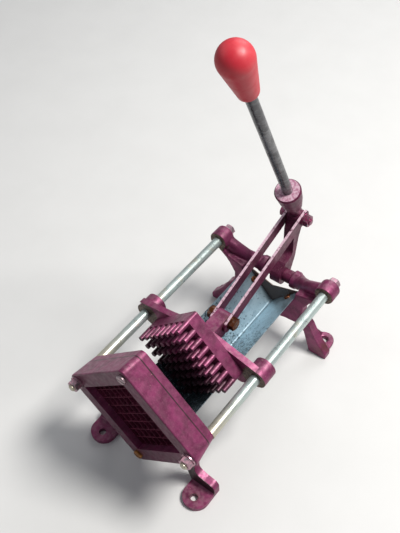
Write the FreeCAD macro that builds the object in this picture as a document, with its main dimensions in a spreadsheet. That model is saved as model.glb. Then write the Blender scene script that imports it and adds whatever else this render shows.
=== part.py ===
import FreeCAD, Part
import os
import Sketcher

# Lever operated french fry cutter: a square die in a diamond shaped housing, a sheet trough,
# a pusher plate with pins on two guide rods, and a long handle that drives it through links.
# Millimetres. The origin lies on the table midway between the two front foot holes, +Z is up
# and the die faces -Y.

SIZES = {
    # Feet and bench holes
    "front_hole_spacing": 136.0,
    "rear_hole_spacing": 146.0,
    "hole_rows_spacing": 265.0,
    "foot_hole_diameter": 8.5,
    "front_foot_thickness": 6.0,
    "rear_foot_thickness": 6.0,
    "front_foot_width": 31.0,
    "front_foot_nose": 12.0,
    "rear_foot_width": 24.0,
    # Guide rods
    "rod_outset": 10.5,
    "rod_height": 117.0,
    "rod_diameter": 12.0,
    "rod_end_diameter": 8.0,
    "rod_end_proud": 2.5,
    "bore_clearance": 0.2,
    "sliding_clearance": 0.06,
    # Housing and leg plate
    "face_ahead_of_holes": 8.0,
    "housing_depth": 24.0,
    "housing_corner_margin": 14.2,
    "housing_draft": 5.6,
    "housing_apex_radius": 6.0,
    "housing_side_radius": 11.0,
    "housing_face_round": 1.6,
    "leg_plate_thickness": 9.0,
    "leg_inner": 42.0,
    "leg_outer": 58.0,
    "front_foot_reach": 84.0,
    "front_foot_shoulder": 19.0,
    # Cutting die
    "cell_pitch": 11.4,
    "cell_count": 8.0,
    "blade_thickness": 1.0,
    "blade_depth": 14.0,
    "blade_bevel": 2.5,
    "lap_clearance": 0.1,
    "die_frame_wall": 2.2,
    "die_frame_depth": 15.0,
    "die_slot_depth": 1.2,
    "die_clearance": 0.2,
    "die_corner_radius": 4.0,
    "housing_lip": 8.0,
    # Rear frame
    "rear_boss_ahead_of_holes": 23.4,
    "rear_boss_length": 18.5,
    "rear_boss_radius": 12.0,
    "rear_web_thickness": 12.0,
    "rear_arm_thickness": 18.0,
    "rear_foot_reach": 88.0,
    "rear_foot_end": 12.0,
    # Trough
    "trough_fold_height": 45.3,
    "trough_half_width": 37.0,
    "trough_top_height": 87.0,
    "trough_sheet": 1.2,
    "trough_fold_radius": 2.0,
    "trough_seat_gap": 0.1,
    "trough_end_dip": 13.0,
    "trough_screw_offset": 25.0,
    "trough_screw_diameter": 5.0,
    "trough_screw_length": 11.0,
    "trough_screw_head_radius": 4.2,
    "trough_screw_head_height": 2.4,
    # Pivot and lever
    "pivot_behind_holes": 4.0,
    "pivot_height": 84.0,
    "pivot_diameter": 8.0,
    "ear_inner": 19.0,
    "ear_thickness": 7.0,
    "ear_radius": 12.0,
    "hub_radius": 8.5,
    "side_gap": 0.3,
    "lever_arm": 81.0,
    "lever_bend": 43.8,
    "handle_lean": 23.6,
    "arm_width": 14.0,
    "arm_eye_radius": 13.6,
    "arm_hollow": 5.8,
    "link_boss_radius": 9.5,
    "link_boss_width": 16.0,
    "socket_set_back": 2.0,
    "socket_height": 61.5,
    "socket_top_radius": 15.5,
    "socket_mid_radius": 13.8,
    "socket_neck_radius": 7.7,
    "handle_depth_in_socket": 36.0,
    "handle_diameter": 12.0,
    # Knob
    "knob_ball_radius": 17.6,
    "knob_bottom_height": 253.0,
    "knob_taper_length": 48.0,
    "knob_bottom_radius": 10.5,
    "knob_bottom_round": 2.0,
    "handle_depth_in_knob": 30.0,
    # Links
    "link_length": 152.7,
    "link_thickness": 3.0,
    "link_width": 16.0,
    "link_upper_end": 10.5,
    "link_lower_end": 13.0,
    "link_pin_diameter": 8.0,
    # Carriage and pusher
    "carriage_web_thickness": 7.3,
    "carriage_web_ahead_of_pin": 45.3,
    "sleeve_radius": 12.6,
    "sleeve_length": 19.8,
    "lug_radius": 9.0,
    "lug_bottom_height": 102.0,
    "carriage_top_at_sleeve": 132.0,
    "carriage_top_at_shoulder": 139.5,
    "carriage_shoulder": 38.0,
    "carriage_bottom_height": 95.0,
    "pusher_clearance": 2.6,
    "pusher_thickness": 15.1,
    "pusher_corner_radius": 3.0,
    "pin_length": 16.3,
    "pin_root_diameter": 6.6,
    "pin_draft": 1.0,
    # Fasteners
    "nut_across_flats": 13.0,
    "nut_height": 6.4,
    "washer_radius": 8.0,
    "washer_thickness": 1.6,
    "head_height": 5.3,
    "corner_screw_diameter": 6.0,
    "corner_screw_head_radius": 5.5,
    "corner_screw_head_height": 3.0,
    "corner_screw_short": 1.0,
    "bolt_end_proud": 2.0,
}

doc = FreeCAD.newDocument("french_fry_cutter")
sheet = doc.addObject("Spreadsheet::Sheet", "Sizes")
for line, (alias, value) in enumerate(SIZES.items(), start=1):
    sheet.set("A%d" % line, alias)
    sheet.set("B%d" % line, str(value))
    sheet.setAlias("B%d" % line, alias)
doc.recompute()

# Places that follow from the driving sizes, as expressions on the sheet
REAR_ROW = "Sizes.hole_rows_spacing"
FACE_Y = "(-Sizes.face_ahead_of_holes)"
SEAM_Y = "(%s + Sizes.housing_depth)" % FACE_Y
PLATE_REAR_Y = "(%s + Sizes.leg_plate_thickness)" % SEAM_Y
OPENING_REACH = "(Sizes.cell_count * Sizes.cell_pitch / sqrt(2))"
ROD_X = "(%s + Sizes.rod_outset)" % OPENING_REACH
HOUSING_REACH = "(%s + Sizes.housing_corner_margin)" % ROD_X
SEAM_REACH = "(%s - sqrt(2) * Sizes.housing_depth * tan(Sizes.housing_draft))" % HOUSING_REACH
ROD_Z = "Sizes.rod_height"
REAR_Y = "(%s - Sizes.rear_boss_ahead_of_holes)" % REAR_ROW
REAR_WEB_Y = "(%s + Sizes.rear_web_thickness)" % REAR_Y
REAR_BOSS_Y = "(%s + Sizes.rear_boss_length)" % REAR_Y
PIVOT_Y = "(%s + Sizes.pivot_behind_holes)" % REAR_ROW
PIVOT_Z = "Sizes.pivot_height"
ARM_LEAN = "(Sizes.lever_bend - Sizes.handle_lean)"
LINK_PIN_Y = "(%s + Sizes.lever_arm * sin(%s))" % (PIVOT_Y, ARM_LEAN)
LINK_PIN_Z = "(%s + Sizes.lever_arm * cos(%s))" % (PIVOT_Z, ARM_LEAN)
LINK_RISE = "(%s - %s)" % (LINK_PIN_Z, ROD_Z)
LUG_Y = "(%s - sqrt(Sizes.link_length * Sizes.link_length - %s * %s))" % (
    LINK_PIN_Y, LINK_RISE, LINK_RISE)
CARRIAGE_Y = "(%s - Sizes.carriage_web_ahead_of_pin)" % LUG_Y
LINK_INNER = "(Sizes.link_boss_width / 2 + Sizes.side_gap)"
LINK_OUTER = "(%s + Sizes.link_thickness)" % LINK_INNER
WASHER_X = "(%s + Sizes.side_gap)" % LINK_OUTER
WING_SLOPE = "((Sizes.trough_top_height - Sizes.trough_fold_height) / Sizes.trough_half_width)"
SHEET_DROP = "(Sizes.trough_sheet * sqrt(1 + %s * %s))" % (WING_SLOPE, WING_SLOPE)
TROUGH_SCREW_Y = "(%s + Sizes.rear_web_thickness / 2)" % REAR_Y
TROUGH_SCREW_Z = "(Sizes.trough_fold_height + %s * Sizes.trough_screw_offset)" % WING_SLOPE
EAR_OUTER = "(Sizes.ear_inner + Sizes.ear_thickness)"


def number(expression):
    """Value of an expression on the sheet."""
    return float(sheet.evalExpression(str(expression)))


def minus(expression):
    return "-(%s)" % expression


def new_body(name):
    body = doc.addObject("PartDesign::Body", name)
    body.Label = name
    body.AllowCompound = True
    return body


def origin_plane(body, role):
    for feature in body.Origin.OriginFeatures:
        if feature.Role == role:
            return feature
    raise RuntimeError("no plane " + role)


def sketch_on(body, role, offset="0"):
    """Sketch on an origin plane, moved along the plane's normal."""
    sketch = body.newObject("Sketcher::SketchObject", body.Name + "_sketch")
    sketch.AttachmentSupport = (origin_plane(body, role), [""])
    sketch.MapMode = "FlatFace"
    sketch.setExpression("AttachmentOffset.Base.z", offset)
    return sketch


def across_y(body, y="0"):
    """Sketch that faces along Y: its axes are X and Z."""
    return sketch_on(body, "XZ_Plane", minus(y))


def across_x(body, x="0"):
    """Sketch that faces along X: its axes are Y and Z."""
    return sketch_on(body, "YZ_Plane", x)


def across_z(body, z="0"):
    """Sketch that faces along Z: its axes are X and Y."""
    return sketch_on(body, "XY_Plane", z)


def hold(sketch, kind, where, expression):
    """Bind a distance, radius or diameter of the sketch to an expression."""
    place = sketch.addConstraint(Sketcher.Constraint(kind, *where, number(expression)))
    sketch.setExpression("Constraints[%d]" % place, str(expression))


def outline(sketch, points):
    """Closed outline of straight lines, its corners given as pairs of expressions."""
    first = sketch.GeometryCount
    corners = [FreeCAD.Vector(number(u), number(v), 0) for u, v in points]
    count = len(points)
    for i in range(count):
        sketch.addGeometry(Part.LineSegment(corners[i], corners[(i + 1) % count]))
    for i in range(count):
        sketch.addConstraint(
            Sketcher.Constraint("Coincident", first + i, 2, first + (i + 1) % count, 1))
    for i, (u, v) in enumerate(points):
        hold(sketch, "DistanceX", (-1, 1, first + i, 1), u)
        hold(sketch, "DistanceY", (-1, 1, first + i, 1), v)


def circle(sketch, u, v, radius):
    centre = FreeCAD.Vector(number(u), number(v), 0)
    edge = sketch.addGeometry(Part.Circle(centre, FreeCAD.Vector(0, 0, 1), number(radius)))
    hold(sketch, "DistanceX", (-1, 1, edge, 3), u)
    hold(sketch, "DistanceY", (-1, 1, edge, 3), v)
    hold(sketch, "Radius", (edge,), radius)


def box_points(u0, v0, u1, v1):
    return [(u0, v0), (u1, v0), (u1, v1), (u0, v1)]


def diamond_points(reach):
    """Square on its corner round the axis of the die."""
    return [("0", "%s + %s" % (ROD_Z, reach)), (reach, ROD_Z),
            ("0", "%s - %s" % (ROD_Z, reach)), (minus(reach), ROD_Z)]


def check_changed(feature, before):
    if abs(feature.Shape.Volume - before) < 1e-3:
        raise RuntimeError(feature.Name + " changes nothing")


def feature_of(kind, body, sketch, length, reverse, middle, taper):
    before = body.Shape.Volume if body.Tip else 0.0
    feature = body.newObject(kind, body.Name + "_" + kind.split("::")[1].lower())
    feature.Profile = sketch
    feature.setExpression("Length", str(length))
    feature.Reversed = reverse
    if middle:
        feature.SideType = "Symmetric"
    if taper:
        feature.setExpression("TaperAngle", taper)
    sketch.Visibility = False
    doc.recompute()
    check_changed(feature, before)
    return feature


def pad(body, sketch, length, reverse=False, middle=False, taper=None):
    return feature_of("PartDesign::Pad", body, sketch, length, reverse, middle, taper)


def pocket(body, sketch, length, reverse=False, middle=False, taper=None):
    return feature_of("PartDesign::Pocket", body, sketch, length, reverse, middle, taper)


def turn(body, sketch, kind="PartDesign::Revolution"):
    """Revolve the sketch round its own upright axis."""
    before = body.Shape.Volume if body.Tip else 0.0
    feature = body.newObject(kind, body.Name + "_" + kind.split("::")[1].lower())
    feature.Profile = sketch
    feature.ReferenceAxis = (sketch, ["V_Axis"])
    feature.Angle = 360
    sketch.Visibility = False
    doc.recompute()
    check_changed(feature, before)
    return feature


def dress(kind, body, size_name, radius, wanted):
    """Fillet or chamfer on the edges of the tip whose middle the test wants."""
    base = body.Tip
    names = []
    for i, edge in enumerate(base.Shape.Edges, start=1):
        middle = edge.valueAt((edge.FirstParameter + edge.LastParameter) / 2)
        if wanted(middle, edge):
            names.append("Edge%d" % i)
    if not names:
        raise RuntimeError("no edge to dress on " + body.Name)
    feature = body.newObject(kind, body.Name + "_" + kind.split("::")[1].lower())
    feature.Base = (base, names)
    feature.setExpression(size_name, str(radius))
    base.Visibility = False
    doc.recompute()
    if feature.Shape.isNull() or not feature.isValid():
        raise RuntimeError("dressing failed on " + body.Name)
    return feature


def fillet(body, radius, wanted):
    return dress("PartDesign::Fillet", body, "Radius", radius, wanted)


def chamfer(body, size, wanted):
    return dress("PartDesign::Chamfer", body, "Size", size, wanted)


def near(axes, tolerance=0.6):
    """Test that an edge's middle lies at the given places, such as {"x": 3}."""
    places = {axis: number(place) for axis, place in axes.items()}

    def wanted(middle, edge):
        return all(abs(getattr(middle, axis) - place) < tolerance
                   for axis, place in places.items())
    return wanted


def any_of(*tests):
    return lambda middle, edge: any(test(middle, edge) for test in tests)


def place(thing, x="0", y="0", z="0", rotation=None):
    if rotation:
        thing.Placement = FreeCAD.Placement(FreeCAD.Vector(0, 0, 0), rotation)
    thing.setExpression("Placement.Base.x", x)
    thing.setExpression("Placement.Base.y", y)
    thing.setExpression("Placement.Base.z", z)
    return thing


def turned(axis, angle):
    return FreeCAD.Rotation(FreeCAD.Vector(*axis), angle)


ALONG_Y = turned((1, 0, 0), -90)
AGAINST_Y = turned((1, 0, 0), 90)
ALONG_X = turned((0, 1, 0), 90)
AGAINST_X = turned((0, 1, 0), -90)


def node_of(name, things):
    """One node made of several equal pieces."""
    compound = doc.addObject("Part::Compound", name)
    compound.Label = name
    compound.Links = things
    return compound


def mirrored(name, thing, normal, base_z="0"):
    copy = doc.addObject("Part::Mirroring", name)
    copy.Source = thing
    copy.Normal = FreeCAD.Vector(*normal)
    copy.setExpression("Base.z", base_z)
    return copy


def left_and_right(name, thing):
    return node_of(name, [thing, mirrored(name + "_copy", thing, (1, 0, 0))])


def top_and_bottom(name, thing):
    return node_of(name, [thing, mirrored(name + "_copy", thing, (0, 0, 1), ROD_Z)])


# Fasteners, each standing on the plane z = 0 of its own frame
def hexagon(sketch, across_flats):
    reach = "(%s / sqrt(3))" % across_flats
    half = "(%s / 2)" % across_flats
    corners = []
    for u, v in ((2, 0), (1, 1), (-1, 1), (-2, 0), (-1, -1), (1, -1)):
        corners.append(("%d * %s / 2" % (u, reach), "%d * %s" % (v, half)))
    outline(sketch, corners)


def round_hexagon(body, across_flats, top, bottom=None):
    """Turn the corners of a hexagon off at 30 degrees, as on a nut or a bolt head."""
    half = "(%s / 2)" % across_flats
    far = "(%s * 0.7)" % across_flats
    drop = "(%s * 0.2 * tan(30))" % across_flats
    sketch = sketch_on(body, "XZ_Plane")
    outline(sketch, [(half, top), (far, top), (far, "%s - %s" % (top, drop))])
    turn(body, sketch, "PartDesign::Groove")
    if bottom is not None:
        sketch = sketch_on(body, "XZ_Plane")
        outline(sketch, [(half, bottom), (far, "%s + %s" % (bottom, drop)), (far, bottom)])
        turn(body, sketch, "PartDesign::Groove")


def hex_nut(name, across_flats, height, bore):
    body = new_body(name)
    sketch = across_z(body)
    hexagon(sketch, across_flats)
    pad(body, sketch, height)
    round_hexagon(body, across_flats, height, "0")
    sketch = across_z(body)
    circle(sketch, "0", "0", "%s / 2 + Sizes.sliding_clearance" % bore)
    pocket(body, sketch, height, reverse=True)
    return body


def washer(name, radius, thickness, bore):
    body = new_body(name)
    sketch = across_z(body)
    circle(sketch, "0", "0", radius)
    circle(sketch, "0", "0", "%s / 2 + Sizes.bore_clearance" % bore)
    pad(body, sketch, thickness)
    return body


def hex_bolt(name, across_flats, head, diameter, length):
    """Bolt whose head lies below z = 0 and whose shank runs up."""
    body = new_body(name)
    sketch = across_z(body, minus(head))
    hexagon(sketch, across_flats)
    pad(body, sketch, head)
    sketch = sketch_on(body, "XZ_Plane")
    half = "(%s / 2)" % across_flats
    far = "(%s * 0.7)" % across_flats
    drop = "(%s * 0.2 * tan(30))" % across_flats
    low = minus(head)
    outline(sketch, [(half, low), (far, "%s + %s" % (low, drop)), (far, low)])
    turn(body, sketch, "PartDesign::Groove")
    sketch = across_z(body)
    circle(sketch, "0", "0", "%s / 2" % diameter)
    pad(body, sketch, length)
    end = number(length)
    chamfer(body, "%s / 12" % diameter, lambda middle, edge: abs(middle.z - end) < 1e-3)
    return body


def pan_screw(name, head_radius, head_height, diameter, length):
    """Pan head screw with a slot, its head below z = 0 and its shank running up."""
    body = new_body(name)
    sketch = across_z(body, minus(head_height))
    circle(sketch, "0", "0", head_radius)
    pad(body, sketch, head_height)
    low = -number(head_height)
    fillet(body, "%s * 0.45" % head_height, lambda middle, edge: abs(middle.z - low) < 1e-3)
    sketch = across_z(body, minus(head_height))
    slot = "(%s * 0.12)" % head_radius
    outline(sketch, box_points(minus(head_radius), minus(slot), head_radius, slot))
    pocket(body, sketch, "%s * 0.45" % head_height, reverse=True)
    sketch = across_z(body)
    circle(sketch, "0", "0", "%s / 2" % diameter)
    pad(body, sketch, length)
    return body


# Front housing: a tapered diamond with a square window and, behind, the recess of the die
def front_housing():
    body = new_body("front_housing")
    sketch = across_y(body, FACE_Y)
    outline(sketch, diamond_points(HOUSING_REACH))
    pad(body, sketch, "Sizes.housing_depth", reverse=True, taper="-Sizes.housing_draft")
    middle_y = "(%s + Sizes.housing_depth / 2)" % FACE_Y
    reach = "(%s + %s) / 2" % (HOUSING_REACH, SEAM_REACH)
    for side, radius in ((1, "Sizes.housing_apex_radius"), (-1, "Sizes.housing_apex_radius")):
        corner = {"x": "0", "y": middle_y, "z": "%s + %d * %s" % (ROD_Z, side, reach)}
        fillet(body, radius, near(corner, 1.5))
    corners = [near({"x": "%d * %s" % (side, reach), "y": middle_y, "z": ROD_Z}, 1.5)
               for side in (1, -1)]
    fillet(body, "Sizes.housing_side_radius", any_of(*corners))
    face = number(FACE_Y)
    fillet(body, "Sizes.housing_face_round", lambda middle, edge: abs(middle.y - face) < 1e-3)
    sketch = across_y(body, FACE_Y)
    outline(sketch, diamond_points(OPENING_REACH))
    pocket(body, sketch, "Sizes.housing_depth")
    sketch = across_y(body, "%s + Sizes.housing_lip" % FACE_Y)
    recess = "(%s + sqrt(2) * (Sizes.die_frame_wall + Sizes.die_clearance))" % OPENING_REACH
    outline(sketch, diamond_points(recess))
    pocket(body, sketch, "Sizes.housing_depth")
    fillet(body, "Sizes.die_corner_radius", corner_edges(recess, SEAM_Y))
    drill_four(body, FACE_Y, "Sizes.housing_depth")
    return body


def corner_edges(reach, rear_y):
    """Edges along Y at the four corners of a diamond shaped hole."""
    tests = []
    for u, v in ((1, 0), (-1, 0), (0, 1), (0, -1)):
        corner = {"x": "%d * %s" % (u, reach), "z": "%s + %d * %s" % (ROD_Z, v, reach)}
        tests.append(near(corner, 0.05))
    rear = number(rear_y)
    return lambda middle, edge: middle.y < rear and any(t(middle, edge) for t in tests)


def drill_four(body, y, depth):
    """Bores for the two rod ends and the two corner screws."""
    sketch = across_y(body, y)
    for side in (1, -1):
        circle(sketch, "%d * %s" % (side, ROD_X), ROD_Z,
               "Sizes.rod_end_diameter / 2 + Sizes.bore_clearance")
        circle(sketch, "0", "%s + %d * %s" % (ROD_Z, side, ROD_X),
               "Sizes.corner_screw_diameter / 2 + Sizes.bore_clearance")
    pocket(body, sketch, depth)


# Leg plate behind the housing: the same diamond on two legs with bolt-down feet
def front_leg_plate():
    body = new_body("front_leg_plate")
    sketch = across_y(body, SEAM_Y)
    outline(sketch, diamond_points(SEAM_REACH))
    pad(body, sketch, "Sizes.leg_plate_thickness", reverse=True, taper="-Sizes.housing_draft")
    rear_reach = "(%s - sqrt(2) * Sizes.leg_plate_thickness * tan(Sizes.housing_draft))" % SEAM_REACH
    middle_y = "(%s + Sizes.leg_plate_thickness / 2)" % SEAM_Y
    reach = "(%s + %s) / 2" % (SEAM_REACH, rear_reach)
    for side in (1, -1):
        apex = {"x": "0", "y": middle_y, "z": "%s + %d * %s" % (ROD_Z, side, reach)}
        fillet(body, "Sizes.housing_apex_radius", near(apex, 1.5))
    corners = [near({"x": "%d * %s" % (side, reach), "y": middle_y, "z": ROD_Z}, 1.5)
               for side in (1, -1)]
    fillet(body, "Sizes.housing_side_radius", any_of(*corners))
    for side in (1, -1):
        def at(x, z):
            return ("%d * (%s)" % (side, x), z)
        root = "%s - %s + 10" % (ROD_Z, SEAM_REACH)
        shoulder = "Sizes.front_foot_shoulder"
        sketch = across_y(body, SEAM_Y)
        outline(sketch, [
            at("Sizes.leg_inner", "%s + Sizes.leg_inner" % root),
            at("Sizes.leg_outer", "%s + Sizes.leg_outer" % root),
            at("Sizes.leg_outer", "%s + 7" % shoulder),
            at("Sizes.leg_outer + 12", "%s + 2" % shoulder),
            at("Sizes.front_foot_reach", shoulder),
            at("Sizes.front_foot_reach", "0"),
            at("Sizes.front_foot_reach - Sizes.front_foot_width", "0"),
            at("Sizes.leg_inner + 3", "%s + 11" % shoulder)])
        pad(body, sketch, "Sizes.leg_plate_thickness", reverse=True)
    corners = []
    for side in (1, -1):
        corners.append(near({"x": "%d * Sizes.front_foot_reach" % side, "y": middle_y,
                             "z": "Sizes.front_foot_shoulder"}, 0.1))
    fillet(body, "Sizes.front_foot_shoulder * 0.4", any_of(*corners))
    corners = []
    for side in (1, -1):
        corners.append(near({"x": "%d * Sizes.leg_outer" % side, "y": middle_y,
                             "z": "Sizes.front_foot_shoulder + 7"}, 0.1))
    fillet(body, "Sizes.front_foot_shoulder * 0.4", any_of(*corners))
    foot_nose = "(-Sizes.front_foot_nose)"
    inner = "(Sizes.front_foot_reach - Sizes.front_foot_width)"
    sketch = across_z(body)
    for side in (1, -1):
        outline(sketch, box_points("%d * %s" % (side, inner), foot_nose,
                                   "%d * Sizes.front_foot_reach" % side, middle_y))
    pad(body, sketch, "Sizes.front_foot_thickness")
    noses = [near({"x": "%d * %s" % (side, x), "y": foot_nose, "z": "Sizes.front_foot_thickness / 2"},
                  0.1)
             for side in (1, -1) for x in (inner, "Sizes.front_foot_reach")]
    fillet(body, "Sizes.front_foot_width * 0.48", any_of(*noses))
    front = {"y": SEAM_Y, "z": "Sizes.front_foot_thickness"}
    fillet(body, "Sizes.front_foot_thickness * 0.6", near(front, 0.1))
    sketch = across_z(body)
    for side in (1, -1):
        circle(sketch, "%d * Sizes.front_hole_spacing / 2" % side, "0",
               "Sizes.foot_hole_diameter / 2")
    pocket(body, sketch, "Sizes.front_foot_thickness", reverse=True)
    sketch = across_y(body, SEAM_Y)
    outline(sketch, diamond_points(OPENING_REACH))
    pocket(body, sketch, "Sizes.leg_plate_thickness")
    drill_four(body, SEAM_Y, "Sizes.leg_plate_thickness")
    return body


# Cutting die: a steel ring with slots that hold two crossed sets of blades
def blade_frame():
    body = new_body("blade_frame")
    front = "(%s + Sizes.housing_lip)" % FACE_Y
    outer = "(%s + sqrt(2) * Sizes.die_frame_wall)" % OPENING_REACH
    sketch = across_y(body, front)
    outline(sketch, diamond_points(outer))
    outline(sketch, diamond_points(OPENING_REACH))
    pad(body, sketch, "Sizes.die_frame_depth", reverse=True)
    end = number(front) + number("Sizes.die_frame_depth")
    fillet(body, "Sizes.die_corner_radius - Sizes.die_clearance", corner_edges(outer, str(end)))
    # Slots for the blade ends, cut from behind in both diagonal directions
    half = "(Sizes.cell_count * Sizes.cell_pitch / 2)"
    reach = "(%s + Sizes.die_slot_depth)" % half
    wide = "(Sizes.blade_thickness / 2 + Sizes.lap_clearance)"
    for lean in (45, -45):
        sketch = across_y(body, front)
        sketch.AttachmentOffset = FreeCAD.Placement(FreeCAD.Vector(0, 0, 0), turned((0, 0, 1), lean))
        sketch.setExpression("AttachmentOffset.Base.y", ROD_Z)
        first = "(-(Sizes.cell_count / 2 - 1) * Sizes.cell_pitch)"
        outline(sketch, box_points("%s - %s" % (first, wide), minus(reach),
                                   "%s + %s" % (first, wide), reach))
        cut = pocket(body, sketch, "Sizes.blade_depth + Sizes.lap_clearance", reverse=False)
        pattern = body.newObject("PartDesign::LinearPattern", body.Name + "_slots")
        pattern.Originals = [cut]
        pattern.Direction = (sketch, ["H_Axis"])
        pattern.setExpression("Length", "(Sizes.cell_count - 2) * Sizes.cell_pitch")
        pattern.setExpression("Occurrences", "Sizes.cell_count - 1")
        body.Tip = pattern
        doc.recompute()
    return body


def blade(name, index, rising):
    """One strip of the grid, half lapped with the strips that cross it.

    Its own frame has the length along X, the depth from the front edge along Y and the
    thickness along Z.
    """
    body = new_body(name)
    half = "(Sizes.cell_count * Sizes.cell_pitch / 2 + Sizes.die_slot_depth - Sizes.lap_clearance)"
    thick = "(Sizes.blade_thickness / 2)"
    shoulder = "(Sizes.blade_depth - Sizes.blade_bevel)"
    sketch = across_x(body)
    outline(sketch, [("0", minus(thick)), (shoulder, minus(thick)), ("Sizes.blade_depth", "-0.05"),
                     ("Sizes.blade_depth", "0.05"), (shoulder, thick), ("0", thick)])
    pad(body, sketch, "2 * %s" % half, middle=True)
    lap = "(Sizes.blade_depth / 2)"
    wide = "(Sizes.blade_thickness / 2 + Sizes.lap_clearance)"
    first = "(-(Sizes.cell_count / 2 - 1) * Sizes.cell_pitch)"
    low, high = ("-1", lap) if rising else (lap, "Sizes.blade_depth + 1")
    sketch = across_z(body)
    outline(sketch, box_points("%s - %s" % (first, wide), low, "%s + %s" % (first, wide), high))
    cut = pocket(body, sketch, "2 * Sizes.blade_thickness", middle=True)
    pattern = body.newObject("PartDesign::LinearPattern", name + "_laps")
    pattern.Originals = [cut]
    pattern.Direction = (sketch, ["H_Axis"])
    pattern.setExpression("Length", "(Sizes.cell_count - 2) * Sizes.cell_pitch")
    pattern.setExpression("Occurrences", "Sizes.cell_count - 1")
    body.Tip = pattern
    shift = "((%d - (Sizes.cell_count - 2) / 2) * Sizes.cell_pitch / sqrt(2))" % index
    across = minus(shift) if rising else shift
    lean = -45 if rising else 45
    place(body, across, "%s + Sizes.housing_lip" % FACE_Y, "%s + %s" % (ROD_Z, shift),
          turned((0, 1, 0), lean))
    return body


# Guide rods, stepped down to a threaded end at each side
def guide_rod(name, side):
    body = new_body(name)
    stack = "(Sizes.washer_thickness + Sizes.nut_height + Sizes.rod_end_proud)"
    front = "(%s - %s)" % (FACE_Y, stack)
    rear = "(%s + %s)" % (REAR_BOSS_Y, stack)
    thin = "(Sizes.rod_end_diameter / 2)"
    thick = "(Sizes.rod_diameter / 2)"
    sketch = sketch_on(body, "XZ_Plane")
    outline(sketch, [
        ("0", front), ("%s - 1" % thin, front), (thin, "%s + 1" % front), (thin, PLATE_REAR_Y),
        (thick, PLATE_REAR_Y), (thick, REAR_Y), (thin, REAR_Y), (thin, "%s - 1" % rear),
        ("%s - 1" % thin, rear), ("0", rear)])
    turn(body, sketch)
    place(body, "%d * %s" % (side, ROD_X), "0", ROD_Z, ALONG_Y)
    return body


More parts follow.
